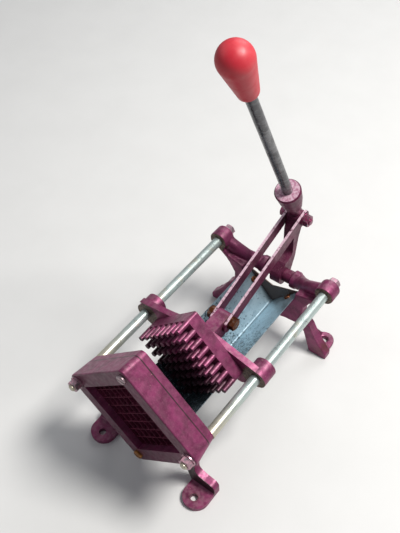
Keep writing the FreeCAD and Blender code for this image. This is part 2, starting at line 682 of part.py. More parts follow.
# Rear frame: two rod bosses, two ears for the lever and two legs, one casting
def rear_frame():
    body = new_body("rear_frame")
    gap = "Sizes.trough_seat_gap"
    under = "(Sizes.trough_fold_height - %s - %s)" % (SHEET_DROP, gap)
    tip_x = "(Sizes.trough_half_width + %s + 0.2)" % gap
    tip_z = "(%s + %s * %s)" % (under, tip_x, WING_SLOPE)
    waist = "(Sizes.trough_half_width + 14)"
    points = [
        ("0", under), (tip_x, tip_z), (tip_x, "Sizes.trough_top_height + 1.5"),
        ("Sizes.ear_inner", "%s - 1" % PIVOT_Z),
        ("Sizes.ear_inner", "%s + Sizes.ear_radius" % PIVOT_Z),
        (EAR_OUTER, "%s + Sizes.ear_radius + 1" % PIVOT_Z),
        ("%s + 12" % EAR_OUTER, "%s - 8" % ROD_Z), ("%s + 17" % EAR_OUTER, "%s - 2" % ROD_Z),
        ("%s + 25" % EAR_OUTER, "%s + 8.5" % ROD_Z), ("%s - 6" % ROD_X, "%s + 10" % ROD_Z),
        ("%s + 5" % ROD_X, "%s - 7" % ROD_Z), ("%s - 2" % ROD_X, "%s - 11" % ROD_Z),
        ("%s + 10" % waist, "%s - 23" % ROD_Z), ("%s + 3" % waist, "%s - 33" % ROD_Z),
        (waist, "%s - 44" % ROD_Z), ("%s + 5" % waist, "%s - 52" % ROD_Z),
        ("Sizes.rear_foot_reach - 26.5", "50"), ("Sizes.rear_foot_reach - 20", "36"),
        ("Sizes.rear_foot_reach - 10.6", "21"), ("Sizes.rear_foot_reach", "9"),
        ("Sizes.rear_foot_reach", "0"), ("Sizes.rear_foot_reach - 22", "0"),
        ("Sizes.rear_foot_reach - 26.4", "12"), ("Sizes.rear_foot_reach - 33.7", "34"),
        ("%s - 5" % waist, "44"), (EAR_OUTER, "41"), ("0", "33")]
    sketch = across_y(body, REAR_Y)
    outline(sketch, points)
    half = pad(body, sketch, "Sizes.rear_web_thickness", reverse=True)
    round_frame(body, waist)
    sketch = across_y(body, REAR_Y)
    circle(sketch, ROD_X, ROD_Z, "Sizes.rear_boss_radius")
    pad(body, sketch, "Sizes.rear_boss_length", reverse=True)
    # Arm from the boss to the ear, thicker than the web and rounded like a bar
    sketch = across_y(body, REAR_Y)
    outline(sketch, [
        ("Sizes.ear_inner", "%s + Sizes.ear_radius" % PIVOT_Z),
        ("Sizes.ear_inner", "%s - 1" % PIVOT_Z), ("%s + 13" % EAR_OUTER, "%s + 7" % PIVOT_Z),
        ("%s + 30" % EAR_OUTER, "%s - 14" % ROD_Z), ("%s - 2" % ROD_X, "%s - 8" % ROD_Z),
        ("%s - 6" % ROD_X, "%s + 10" % ROD_Z), ("%s + 25" % EAR_OUTER, "%s + 8.5" % ROD_Z),
        ("%s + 12" % EAR_OUTER, "%s - 8" % ROD_Z)])
    pad(body, sketch, "Sizes.rear_arm_thickness", reverse=True)
    # Ear of the lever pin: a flat top, and the lower edge clear of the trough
    sketch = across_x(body, "Sizes.ear_inner")
    outline(sketch, [
        (REAR_Y, "%s + Sizes.ear_radius" % PIVOT_Z), (REAR_Y, "%s - 1" % PIVOT_Z),
        ("%s + 2" % REAR_WEB_Y, "%s - 1" % PIVOT_Z),
        ("%s - 0.7 * Sizes.ear_radius" % PIVOT_Y, "%s - 0.7 * Sizes.ear_radius" % PIVOT_Z),
        (PIVOT_Y, PIVOT_Z), (PIVOT_Y, "%s + Sizes.ear_radius" % PIVOT_Z)])
    pad(body, sketch, "Sizes.ear_thickness")
    sketch = across_x(body, "Sizes.ear_inner")
    circle(sketch, PIVOT_Y, PIVOT_Z, "Sizes.ear_radius")
    pad(body, sketch, "Sizes.ear_thickness")
    # Foot tongue behind the leg, and the sloping rib that stiffens it
    tongue_x = "(Sizes.rear_hole_spacing / 2 - Sizes.rear_foot_width / 2)"
    tongue_y = "(%s + Sizes.rear_foot_end)" % REAR_ROW
    sketch = across_z(body)
    outline(sketch, box_points(tongue_x, "%s + 1" % REAR_Y,
                               "%s + Sizes.rear_foot_width" % tongue_x, tongue_y))
    pad(body, sketch, "Sizes.rear_foot_thickness")
    noses = [near({"x": x, "y": tongue_y, "z": "Sizes.rear_foot_thickness / 2"}, 0.1)
             for x in (tongue_x, "%s + Sizes.rear_foot_width" % tongue_x)]
    fillet(body, "Sizes.rear_foot_width * 0.48", any_of(*noses))
    sketch = across_x(body, "Sizes.rear_foot_reach - 27")
    outline(sketch, [("%s - 1" % REAR_WEB_Y, "2"), ("%s + 8" % REAR_ROW, "2"),
                     ("%s + 8" % REAR_ROW, "Sizes.rear_foot_thickness"),
                     ("%s - 1" % REAR_WEB_Y, "40")])
    pad(body, sketch, "5")
    sketch = across_z(body)
    circle(sketch, "Sizes.rear_hole_spacing / 2", REAR_ROW, "Sizes.foot_hole_diameter / 2")
    pocket(body, sketch, "Sizes.rear_foot_thickness", reverse=True)
    sketch = across_y(body, REAR_Y)
    circle(sketch, ROD_X, ROD_Z, "Sizes.rod_end_diameter / 2 + Sizes.bore_clearance")
    pocket(body, sketch, "Sizes.rear_boss_length")
    sketch = across_x(body, "Sizes.ear_inner")
    circle(sketch, PIVOT_Y, PIVOT_Z, "Sizes.pivot_diameter / 2 + Sizes.sliding_clearance")
    pocket(body, sketch, "Sizes.ear_thickness", reverse=True)
    screw_bore(body, 1)
    halves = [feature for feature in body.Group if feature.isDerivedFrom("PartDesign::FeatureAddSub")]
    mirror = body.newObject("PartDesign::Mirrored", "rear_frame_mirror")
    mirror.Originals = halves
    mirror.MirrorPlane = (origin_plane(body, "YZ_Plane"), [""])
    body.Tip = mirror
    doc.recompute()
    return body


def round_frame(body, waist):
    """Round the inward and outward corners of the casting's outline."""
    middle_y = "(%s + Sizes.rear_web_thickness / 2)" % REAR_Y
    corners = [(waist, "%s - 44" % ROD_Z, "9"), ("Sizes.rear_foot_reach", "9", "4"),
               ("Sizes.rear_foot_reach - 33.7", "34", "8")]
    for x, z, radius in corners:
        fillet(body, radius, near({"x": x, "y": middle_y, "z": z}, 0.1))


# Trough of folded sheet, closed behind
def product_tray():
    body = new_body("product_tray")
    wide = "Sizes.trough_half_width"
    top = "Sizes.trough_top_height"
    fold = "Sizes.trough_fold_height"
    front = "(%s + Sizes.trough_seat_gap)" % PLATE_REAR_Y
    rear = REAR_WEB_Y
    sketch = across_y(body, front)
    outline(sketch, [
        (minus(wide), top), ("0", fold), (wide, top), (wide, "%s - %s" % (top, SHEET_DROP)),
        ("0", "%s - %s" % (fold, SHEET_DROP)), (minus(wide), "%s - %s" % (top, SHEET_DROP))])
    pad(body, sketch, "%s - %s" % (rear, front), reverse=True)
    fillet(body, "Sizes.trough_fold_radius", near({"x": "0", "z": fold}, 0.1))
    fillet(body, "Sizes.trough_fold_radius + Sizes.trough_sheet",
           near({"x": "0", "z": "%s - %s" % (fold, SHEET_DROP)}, 0.1))
    sketch = across_y(body, rear)
    seam = "(%s - %s / 2)" % (top, SHEET_DROP)
    outline(sketch, [
        (wide, top), (wide, seam), ("0", fold), (minus(wide), seam), (minus(wide), top),
        ("0", "%s - Sizes.trough_end_dip" % top)])
    pad(body, sketch, "Sizes.trough_sheet", reverse=False)
    for side in (1, -1):
        screw_bore(body, side)
    return body


def screw_bore(body, side):
    """Bore square to one wing of the trough, for a screw into the rear frame below."""
    sketch = across_x(body)
    lean = "atan(%s)" % WING_SLOPE
    sketch.AttachmentOffset = FreeCAD.Placement(
        FreeCAD.Vector(0, 0, 0), turned((1, 0, 0), side * (90 - number(lean))))
    sketch.setExpression("AttachmentOffset.Base.x", TROUGH_SCREW_Y)
    sketch.setExpression("AttachmentOffset.Base.y", TROUGH_SCREW_Z)
    sketch.setExpression("AttachmentOffset.Base.z", "%d * Sizes.trough_screw_offset" % side)
    circle(sketch, "0", "0", "Sizes.trough_screw_diameter / 2 + Sizes.sliding_clearance")
    pocket(body, sketch, "2 * Sizes.trough_screw_length + 2", middle=True)


def tray_screws():
    """Pan head screws that hold the trough's wings to the rear frame."""
    screw = pan_screw("tray_screw", "Sizes.trough_screw_head_radius",
                      "Sizes.trough_screw_head_height", "Sizes.trough_screw_diameter",
                      "Sizes.trough_screw_length")
    lean = number("atan(%s)" % WING_SLOPE)
    place(screw, "Sizes.trough_screw_offset", TROUGH_SCREW_Y, TROUGH_SCREW_Z,
          turned((0, 1, 0), 180 - lean))
    return left_and_right("tray_screws", screw)


# Lever casting: pivot hub, bellied arm, link boss and the socket of the handle.
# Its own frame has Z along the handle and its origin on the link pin.
def lever():
    body = new_body("lever")
    arm = "Sizes.lever_arm"
    eye = "Sizes.arm_eye_radius"
    boss = "Sizes.link_boss_radius"
    lean = "180 - Sizes.lever_bend"

    def arm_sketch():
        sketch = across_x(body)
        sketch.AttachmentOffset = FreeCAD.Placement(
            FreeCAD.Vector(0, 0, 0), turned((0, 0, 1), number(lean)))
        sketch.setExpression("AttachmentOffset.Rotation.Angle", lean)
        return sketch

    # Along the arm, +v runs from the link pin to the pivot and +u to the front
    sketch = arm_sketch()
    hollow = "(%s - 27.7)" % arm
    outline(sketch, [
        ("-%s" % boss, "4"), ("-%s" % boss, "%s - 49.3" % arm),
        ("-%s - 0.7" % eye, "%s - 22.3" % arm), ("-%s + 0.3" % eye, "%s - 3" % arm), ("0", arm),
        ("%s - 0.3" % eye, "%s - 4" % arm), ("%s / 2" % eye, "%s - 17.8" % arm),
        (minus("Sizes.arm_hollow"), hollow), ("%s - 2" % boss, "17.6"), ("%s - 1" % boss, "4"),
        ("0", "0")])
    pad(body, sketch, "Sizes.arm_width", middle=True)
    lean_number = number(lean)
    spin = turned((1, 0, 0), lean_number)
    hollow_at = spin.multVec(FreeCAD.Vector(0, -number("Sizes.arm_hollow"), number(hollow)))
    fillet(body, "8", lambda middle, edge: (middle - hollow_at).Length < 1)
    for radius, along, width in ((eye, arm, "Sizes.arm_width"),
                                 ("Sizes.hub_radius", arm, "2 * (Sizes.ear_inner - Sizes.side_gap)"),
                                 (boss, "0", "Sizes.link_boss_width")):
        sketch = arm_sketch()
        circle(sketch, "0", along, radius)
        pad(body, sketch, width, middle=True)
    # Socket, turned round the handle's axis
    top = "Sizes.socket_height"
    sketch = across_x(body)
    sketch.setExpression("AttachmentOffset.Base.x", "Sizes.socket_set_back")
    outline(sketch, [
        ("0", "-4"), ("Sizes.socket_neck_radius", "-4"), ("Sizes.socket_neck_radius", "%s - 45" % top),
        ("Sizes.socket_neck_radius + 3", "%s - 36" % top),
        ("Sizes.socket_mid_radius", "%s - 20" % top),
        ("Sizes.socket_top_radius", "%s - 2" % top), ("Sizes.socket_top_radius - 1.5", top),
        ("0", top)])
    turn(body, sketch)
    sketch = sketch_on(body, "XY_Plane", top)
    circle(sketch, "0", "Sizes.socket_set_back",
           "Sizes.handle_diameter / 2 + Sizes.sliding_clearance")
    pocket(body, sketch, "Sizes.handle_depth_in_socket")
    for diameter, along in (("Sizes.link_pin_diameter", "0"), ("Sizes.pivot_diameter", arm)):
        sketch = arm_sketch()
        circle(sketch, "0", along, "%s / 2 + Sizes.sliding_clearance" % diameter)
        pocket(body, sketch, "2 * Sizes.ear_inner", middle=True)
    return place_on_handle(body)


def place_on_handle(body):
    """Put a body of the lever on the link pin with the handle's lean."""
    place(body, "0", LINK_PIN_Y, LINK_PIN_Z, turned((1, 0, 0), number("Sizes.handle_lean")))
    body.setExpression("Placement.Rotation.Angle", "Sizes.handle_lean")
    return body


def handle_rod():
    body = new_body("handle_rod")
    bottom = "(Sizes.socket_height - Sizes.handle_depth_in_socket)"
    sketch = across_z(body, bottom)
    circle(sketch, "0", "Sizes.socket_set_back", "Sizes.handle_diameter / 2")
    pad(body, sketch, "Sizes.knob_bottom_height + Sizes.handle_depth_in_knob - %s" % bottom)
    return place_on_handle(body)


def knob():
    """Ball end that runs down tangent into a cone."""
    body = new_body("knob")
    ball = "Sizes.knob_ball_radius"
    drop = "Sizes.knob_taper_length"
    slope = "asin((%s - Sizes.knob_bottom_radius) / %s)" % (ball, drop)
    sketch = across_x(body)
    sketch.setExpression("AttachmentOffset.Base.x", "Sizes.socket_set_back")
    sketch.setExpression("AttachmentOffset.Base.y", "Sizes.knob_bottom_height + %s" % drop)
    touch_u = "(%s * cos(%s))" % (ball, slope)
    touch_v = "(-%s * sin(%s))" % (ball, slope)
    top = FreeCAD.Vector(0, number(ball), 0)
    touch = FreeCAD.Vector(number(touch_u), number(touch_v), 0)
    foot = FreeCAD.Vector(number("Sizes.knob_bottom_radius"), -number(drop), 0)
    base = FreeCAD.Vector(0, -number(drop), 0)
    round_top = Part.Circle(FreeCAD.Vector(0, 0, 0), FreeCAD.Vector(0, 0, 1), number(ball))
    start = round_top.parameter(touch)
    arc = sketch.addGeometry(Part.ArcOfCircle(round_top, start, round_top.parameter(top)))
    side = sketch.addGeometry(Part.LineSegment(foot, touch))
    under = sketch.addGeometry(Part.LineSegment(base, foot))
    middle = sketch.addGeometry(Part.LineSegment(top, base))
    for a, b in (((side, 2), (arc, 1)), ((under, 2), (side, 1)), ((middle, 2), (under, 1)),
                 ((arc, 2), (middle, 1))):
        sketch.addConstraint(Sketcher.Constraint("Coincident", *a, *b))
    sketch.addConstraint(Sketcher.Constraint("Coincident", arc, 3, -1, 1))
    hold(sketch, "Radius", (arc,), ball)
    hold(sketch, "DistanceX", (-1, 1, arc, 1), touch_u)
    hold(sketch, "DistanceX", (-1, 1, arc, 2), "0")
    hold(sketch, "DistanceX", (-1, 1, side, 1), "Sizes.knob_bottom_radius")
    hold(sketch, "DistanceY", (-1, 1, side, 1), minus(drop))
    hold(sketch, "DistanceX", (-1, 1, under, 1), "0")
    hold(sketch, "DistanceY", (-1, 1, under, 1), minus(drop))
    turn(body, sketch)
    low = number("Sizes.knob_bottom_height")
    fillet(body, "Sizes.knob_bottom_round", lambda middle, edge: abs(middle.z - low) < 1e-3)
    sketch = across_z(body, "Sizes.knob_bottom_height")
    circle(sketch, "0", "Sizes.socket_set_back",
           "Sizes.handle_diameter / 2 + Sizes.sliding_clearance")
    pocket(body, sketch, "Sizes.handle_depth_in_knob", reverse=True)
    return place_on_handle(body)


# Flat links from the lever to the carriage, in a frame with X along the link
def link(name, side):
    body = new_body(name)
    length = "Sizes.link_length"
    half = "(Sizes.link_width / 2)"
    start = "(%s)" % (LINK_INNER if side > 0 else minus(LINK_OUTER))
    sketch = across_z(body, start)
    outline(sketch, box_points(minus("Sizes.link_upper_end"), minus(half),
                               "%s + Sizes.link_lower_end" % length, half))
    pad(body, sketch, "Sizes.link_thickness")
    ends = number("-Sizes.link_upper_end"), number("%s + Sizes.link_lower_end" % length)

    def end_corner(middle, edge):
        upright = abs(edge.tangentAt(edge.FirstParameter).z) > 0.9
        return upright and min(abs(middle.x - end) for end in ends) < 0.1
    fillet(body, "Sizes.link_width * 0.42", end_corner)
    sketch = across_z(body, start)
    for x in ("0", length):
        circle(sketch, x, "0", "Sizes.link_pin_diameter / 2 + Sizes.sliding_clearance")
    pocket(body, sketch, "Sizes.link_thickness", reverse=True)
    # Machine -Y is the link's +X before it leans, and machine +X is its +Z
    lean = "asin(%s / %s)" % (LINK_RISE, length)
    flat = FreeCAD.Rotation(FreeCAD.Matrix(0, 0, 1, 0, -1, 0, 0, 0, 0, -1, 0, 0, 0, 0, 0, 1))
    tilt = turned((1, 0, 0), number(lean))
    place(body, "0", LINK_PIN_Y, LINK_PIN_Z, tilt.multiply(flat))
    return body


# Carriage: crossbar with a sleeve on each rod and the lug of the links behind
def carriage():
    body = new_body("carriage")
    shoulder = "Sizes.carriage_shoulder"
    high = "Sizes.carriage_top_at_shoulder"
    low = "Sizes.carriage_bottom_height"
    sleeve_z = "(%s - Sizes.sleeve_radius)" % ROD_Z

    def half(side):
        return [("%d * %s" % (side, x), z) for x, z in (
            (ROD_X, "Sizes.carriage_top_at_sleeve - 2.5"),
            ("%s - 8" % ROD_X, "Sizes.carriage_top_at_sleeve"), (shoulder, high),
            ("16", "%s + 6" % high))]
    under = [("%d * %s" % (side, x), z) for side in (-1, 1) for x, z in (
        (ROD_X, sleeve_z), ("(%s - 18)" % ROD_X, low))]
    sketch = across_y(body, CARRIAGE_Y)
    outline(sketch, half(1) + half(-1)[::-1] + under[:2] + under[2:][::-1])
    pad(body, sketch, "Sizes.carriage_web_thickness", reverse=True)
    sketch = across_y(body, CARRIAGE_Y)
    for side in (1, -1):
        circle(sketch, "%d * %s" % (side, ROD_X), ROD_Z, "Sizes.sleeve_radius")
    pad(body, sketch, "Sizes.sleeve_length", reverse=True)
    # Lug of the link screw
    sketch = across_x(body)
    outline(sketch, [
        (CARRIAGE_Y, "%s + Sizes.lug_radius" % ROD_Z), (CARRIAGE_Y, "Sizes.lug_bottom_height - 3"),
        ("%s - 8" % LUG_Y, "Sizes.lug_bottom_height"), (LUG_Y, "%s - Sizes.lug_radius" % ROD_Z),
        (LUG_Y, "%s + Sizes.lug_radius" % ROD_Z)])
    pad(body, sketch, "Sizes.link_boss_width", middle=True)
    sketch = across_x(body)
    circle(sketch, LUG_Y, ROD_Z, "Sizes.lug_radius")
    pad(body, sketch, "Sizes.link_boss_width", middle=True)
    sketch = across_x(body)
    circle(sketch, LUG_Y, ROD_Z, "Sizes.link_pin_diameter / 2 + Sizes.bore_clearance")
    pocket(body, sketch, "Sizes.link_boss_width", middle=True)
    sketch = across_y(body, CARRIAGE_Y)
    for side in (1, -1):
        circle(sketch, "%d * %s" % (side, ROD_X), ROD_Z,
               "Sizes.rod_diameter / 2 + Sizes.sliding_clearance")
    pocket(body, sketch, "Sizes.sleeve_length")
    return body


# Pusher plate with one pin for each cell of the die
def pusher_plate():
    body = new_body("pusher_plate")
    reach = "(%s - sqrt(2) * Sizes.pusher_clearance)" % OPENING_REACH
    sketch = across_y(body, CARRIAGE_Y)
    outline(sketch, diamond_points(reach))
    pad(body, sketch, "Sizes.pusher_thickness")
    fillet(body, "Sizes.pusher_corner_radius", corner_edges(reach, CARRIAGE_Y))
    front = "(%s - Sizes.pusher_thickness)" % CARRIAGE_Y
    first = "(-(Sizes.cell_count - 1) / 2 * Sizes.cell_pitch)"
    sketch = across_y(body, front)
    sketch.AttachmentOffset = FreeCAD.Placement(FreeCAD.Vector(0, 0, 0), turned((0, 0, 1), 45))
    sketch.setExpression("AttachmentOffset.Base.y", ROD_Z)
    circle(sketch, first, first, "Sizes.pin_root_diameter / 2")
    pin = pad(body, sketch, "Sizes.pin_length", taper="-Sizes.pin_draft")
    pattern = body.newObject("PartDesign::LinearPattern", "pusher_pins")
    pattern.Originals = [pin]
    pattern.Direction = (sketch, ["H_Axis"])
    pattern.setExpression("Length", "(Sizes.cell_count - 1) * Sizes.cell_pitch")
    pattern.setExpression("Occurrences", "Sizes.cell_count")
    pattern.Direction2 = (sketch, ["V_Axis"])
    pattern.setExpression("Length2", "(Sizes.cell_count - 1) * Sizes.cell_pitch")
    pattern.setExpression("Occurrences2", "Sizes.cell_count")
    body.Tip = pattern
    return body


NUT = ("Sizes.nut_across_flats", "Sizes.nut_height")


def rod_fasteners():
    """Nuts and washers at both ends of the rods."""
    front_washer = washer("front_washer", "Sizes.washer_radius", "Sizes.washer_thickness",
                          "Sizes.rod_end_diameter")
    place(front_washer, ROD_X, FACE_Y, ROD_Z, AGAINST_Y)
    front_nut = hex_nut("front_nut", *NUT, "Sizes.rod_end_diameter")
    place(front_nut, ROD_X, "%s - Sizes.washer_thickness" % FACE_Y, ROD_Z, AGAINST_Y)
    rear_washer = washer("rear_washer", "Sizes.washer_radius", "Sizes.washer_thickness",
                         "Sizes.rod_end_diameter")
    place(rear_washer, ROD_X, REAR_BOSS_Y, ROD_Z, ALONG_Y)
    rear_nut = hex_nut("rear_nut", *NUT, "Sizes.rod_end_diameter")
    place(rear_nut, ROD_X, "%s + Sizes.washer_thickness" % REAR_BOSS_Y, ROD_Z, ALONG_Y)
    return [left_and_right("front_rod_washers", front_washer),
            left_and_right("front_rod_nuts", front_nut),
            left_and_right("rear_rod_washers", rear_washer),
            left_and_right("rear_rod_nuts", rear_nut)]


def corner_fasteners():
    """Pan head screws through the housing into the leg plate, above and below the window."""
    high = "%s + %s" % (ROD_Z, ROD_X)
    grip = "(Sizes.housing_depth + Sizes.leg_plate_thickness)"
    reach = "(%s - Sizes.corner_screw_short)" % grip
    screw = pan_screw("corner_screw", "Sizes.corner_screw_head_radius",
                      "Sizes.corner_screw_head_height", "Sizes.corner_screw_diameter", reach)
    place(screw, "0", FACE_Y, high, ALONG_Y)
    return [top_and_bottom("corner_screws", screw)]


def pivot_pin():
    """Plain pin through both ears and the hub, its ends flush with the ears."""
    pin = new_body("pivot_pin")
    sketch = across_x(pin)
    circle(sketch, "0", "0", "Sizes.pivot_diameter / 2")
    pad(pin, sketch, "2 * %s" % EAR_OUTER, middle=True)
    place(pin, "0", PIVOT_Y, PIVOT_Z)
    return [pin]


def link_pin_fasteners():
    """Bolt of the upper link joint, which turns with the lever."""
    grip = "(2 * %s)" % WASHER_X
    length = "(%s + 2 * Sizes.washer_thickness + Sizes.nut_height + Sizes.bolt_end_proud)" % grip
    bolt = hex_bolt("link_bolt", "Sizes.nut_across_flats", "Sizes.head_height",
                    "Sizes.link_pin_diameter", length)
    place(bolt, minus("%s + Sizes.washer_thickness" % WASHER_X), LINK_PIN_Y, LINK_PIN_Z, ALONG_X)
    ring = washer("link_washer", "Sizes.washer_radius", "Sizes.washer_thickness",
                  "Sizes.link_pin_diameter")
    place(ring, WASHER_X, LINK_PIN_Y, LINK_PIN_Z, ALONG_X)
    nut = hex_nut("link_bolt_nut", *NUT, "Sizes.link_pin_diameter")
    place(nut, "%s + Sizes.washer_thickness" % WASHER_X, LINK_PIN_Y, LINK_PIN_Z, ALONG_X)
    return [bolt, left_and_right("link_washers", ring), nut]


def carriage_screws():
    """Shouldered hex screws of the lower link joint, clear of the lug between them."""
    length = "(Sizes.washer_thickness + Sizes.link_thickness)"
    screw = hex_bolt("carriage_link_screw", "Sizes.nut_across_flats", "Sizes.head_height",
                     "Sizes.link_pin_diameter", length)
    place(screw, "%s + Sizes.washer_thickness" % LINK_OUTER, LUG_Y, ROD_Z, AGAINST_X)
    ring = washer("carriage_washer", "Sizes.washer_radius", "Sizes.washer_thickness",
                  "Sizes.link_pin_diameter")
    place(ring, LINK_OUTER, LUG_Y, ROD_Z, ALONG_X)
    return [left_and_right("carriage_link_screws", screw),
            left_and_right("carriage_link_washers", ring)]


def build():
    nodes = [front_housing(), front_leg_plate(), blade_frame()]
    for index in range(int(number("Sizes.cell_count")) - 1):
        nodes.append(blade("blade_rise_%d" % (index + 1), index, True))
        nodes.append(blade("blade_fall_%d" % (index + 1), index, False))
    nodes += [guide_rod("guide_rod_left", -1), guide_rod("guide_rod_right", 1)]
    nodes += [rear_frame(), product_tray(), tray_screws(), lever(), handle_rod(), knob()]
    nodes += [link("link_left", -1), link("link_right", 1), carriage(), pusher_plate()]
    nodes += rod_fasteners() + corner_fasteners() + pivot_pin()
    nodes += link_pin_fasteners() + carriage_screws()
    return nodes


def write(nodes):
    doc.recompute()
    for thing in doc.Objects:
        if "Invalid" in thing.State or "Error" in thing.State:
            raise RuntimeError(thing.Name + " failed: " + str(thing.State))
    for node in nodes:
        if node.Shape.isNull() or not node.Shape.isValid():
            raise RuntimeError(node.Label + " has no valid shape")
    os.makedirs("parts", exist_ok=True)
    for node in nodes:
        node.Shape.exportStep("parts/" + node.Label + ".step")


write(build())
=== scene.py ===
import math

import bmesh
import bpy
from mathutils import Matrix, Vector


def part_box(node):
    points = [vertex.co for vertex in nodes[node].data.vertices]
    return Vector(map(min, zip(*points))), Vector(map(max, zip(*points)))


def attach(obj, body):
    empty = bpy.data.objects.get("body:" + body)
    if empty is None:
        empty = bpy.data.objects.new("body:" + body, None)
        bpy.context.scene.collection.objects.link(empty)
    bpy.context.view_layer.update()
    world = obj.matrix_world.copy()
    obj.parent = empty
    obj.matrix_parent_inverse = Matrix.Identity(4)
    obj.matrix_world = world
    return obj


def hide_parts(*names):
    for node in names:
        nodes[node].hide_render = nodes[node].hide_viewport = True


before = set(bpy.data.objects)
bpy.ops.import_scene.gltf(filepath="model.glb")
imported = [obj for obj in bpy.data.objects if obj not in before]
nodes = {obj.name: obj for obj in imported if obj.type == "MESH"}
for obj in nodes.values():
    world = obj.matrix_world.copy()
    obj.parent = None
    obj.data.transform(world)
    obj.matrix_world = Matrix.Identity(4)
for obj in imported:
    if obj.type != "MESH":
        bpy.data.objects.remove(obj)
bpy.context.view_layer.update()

# Colours, linear
PAINT = (0.225, 0.030, 0.105)
PAINT_DARK = (0.075, 0.011, 0.034)
PAINT_PINK = (0.52, 0.13, 0.27)
# Blades of the die: dark maroon as painted shade of the recess behind the front frame
DIE_SHADE = (0.085, 0.008, 0.026)
DIE_SHADE_DARK = (0.040, 0.004, 0.013)
CHIP = (0.40, 0.24, 0.20)
DUST = (0.42, 0.26, 0.30)
BARE_IRON = (0.14, 0.095, 0.065)
DEEP_PAINT = (0.115, 0.014, 0.048)
DEEP_DARK = (0.040, 0.006, 0.018)
RUST = (0.12, 0.035, 0.012)
RUST_DARK = (0.035, 0.014, 0.008)
GRIME = (0.02, 0.014, 0.013)
# Painted shade for the faces that look forward
FRONT_SHADE = (0.045, 0.006, 0.018)
# Painted shade for the pusher's lower pins
PIN_SHADE = (0.016, 0.007, 0.010)
STEEL = (0.46, 0.54, 0.52)
STEEL_DARK = (0.20, 0.20, 0.21)
BEIGE = (0.50, 0.43, 0.31)
KNOB = (0.46, 0.016, 0.030)
KNOB_WORN = (0.54, 0.085, 0.095)
KNOB_SCUFF = (0.30, 0.03, 0.03)
TRAY_LIGHT = (0.33, 0.44, 0.50)
TRAY_DARK = (0.22, 0.31, 0.37)
TRAY_DIRT = (0.020, 0.032, 0.040)
TRAY_END = (0.15, 0.11, 0.10)
# Pale of the links' upward faces: worn metal and painted highlight
WORN_EDGE_AND_HIGHLIGHT = (0.66, 0.46, 0.54)
SOCKET_PALE = (0.62, 0.42, 0.50)
SOCKET_PINK = (0.40, 0.16, 0.25)
SCREW_RUST = (0.30, 0.13, 0.04)
HANDLE = (0.075, 0.075, 0.08)
HANDLE_DULL = (0.24, 0.24, 0.25)
ROD_NUT_TINT = (0.52, 0.29, 0.36)
CORNER_SCREW_TINT = (0.42, 0.30, 0.33)
LINK_BOLT_TINT = (0.30, 0.05, 0.13)
RUSTY_SCREW_TINT = (0.25, 0.12, 0.07)
FLOOR = (0.60, 0.60, 0.59)
FLOOR_PALE = (0.66, 0.66, 0.65)

# Places and directions, in metres, and the handle's lean in degrees
MILLIMETRE = 0.001
IN_MILLIMETRES = 1000
HANDLE_LEAN = 23.6
HANDLE_UP = (0.0, -math.sin(math.radians(HANDLE_LEAN)), math.cos(math.radians(HANDLE_LEAN)))
FORWARD = (0.0, -1.0, 0.0)
# Middle of the socket's upper rim, where the paint has gone
SOCKET_TOP = (0.0, 0.274, 0.2185)
# Back of the pusher's plate to the roots of its pins, with a margin
PUSHER_PLATE_DEPTH = 0.0165
# Rear face of the tray's end plate
END_PLATE_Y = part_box("product_tray")[1][1]

# Rod threads: length shown, radius as a share of the rod's, pitch, radius of the wire,
# gap to the end of the rod, and points in a turn
THREAD_LENGTH = 0.006
THREAD_SHARE = 0.66
THREAD_PITCH = 0.00125
THREAD_WIRE = 0.00034
THREAD_START = 0.0006
THREAD_STEPS = 16

# Camera solved from the photograph: metres, radians, pixels of the photograph's longer side,
# and the sensor's width in millimetres
CAMERA_PLACE = (0.3096, -0.2492, 0.7832)
CAMERA_YAW = 0.703
CAMERA_PITCH = 0.851
CAMERA_ROLL = -0.066
FOCAL_PIXELS = 741.4
LONG_SIDE_PIXELS = 533
SENSOR_WIDTH = 36.0

# Point that the lights face, and half of the floor's side, in metres
LIGHT_AIM = (0.0, 0.13, 0.1)
FLOOR_REACH = 6.0

# Rear casting, in millimetres
REAR_WEB = 12.0
REAR_BOSS_RADIUS = 12.0
REAR_BOSS_LENGTH = 18.0
ROD_BORE = 5.0
EAR_INNER = 19.0
EAR_RADIUS = 11.5
PIN_BORE = 4.1
FOOT_HOLE = (73.0, 265.0)
FOOT_RADIUS = 12.0
FOOT_THICKNESS = 6.0
FOOT_BORE = 4.5
RIB_HEIGHT = 40.0
RIB_WIDTH = 5.0

# Points round a cylinder
RING_POINTS = 40


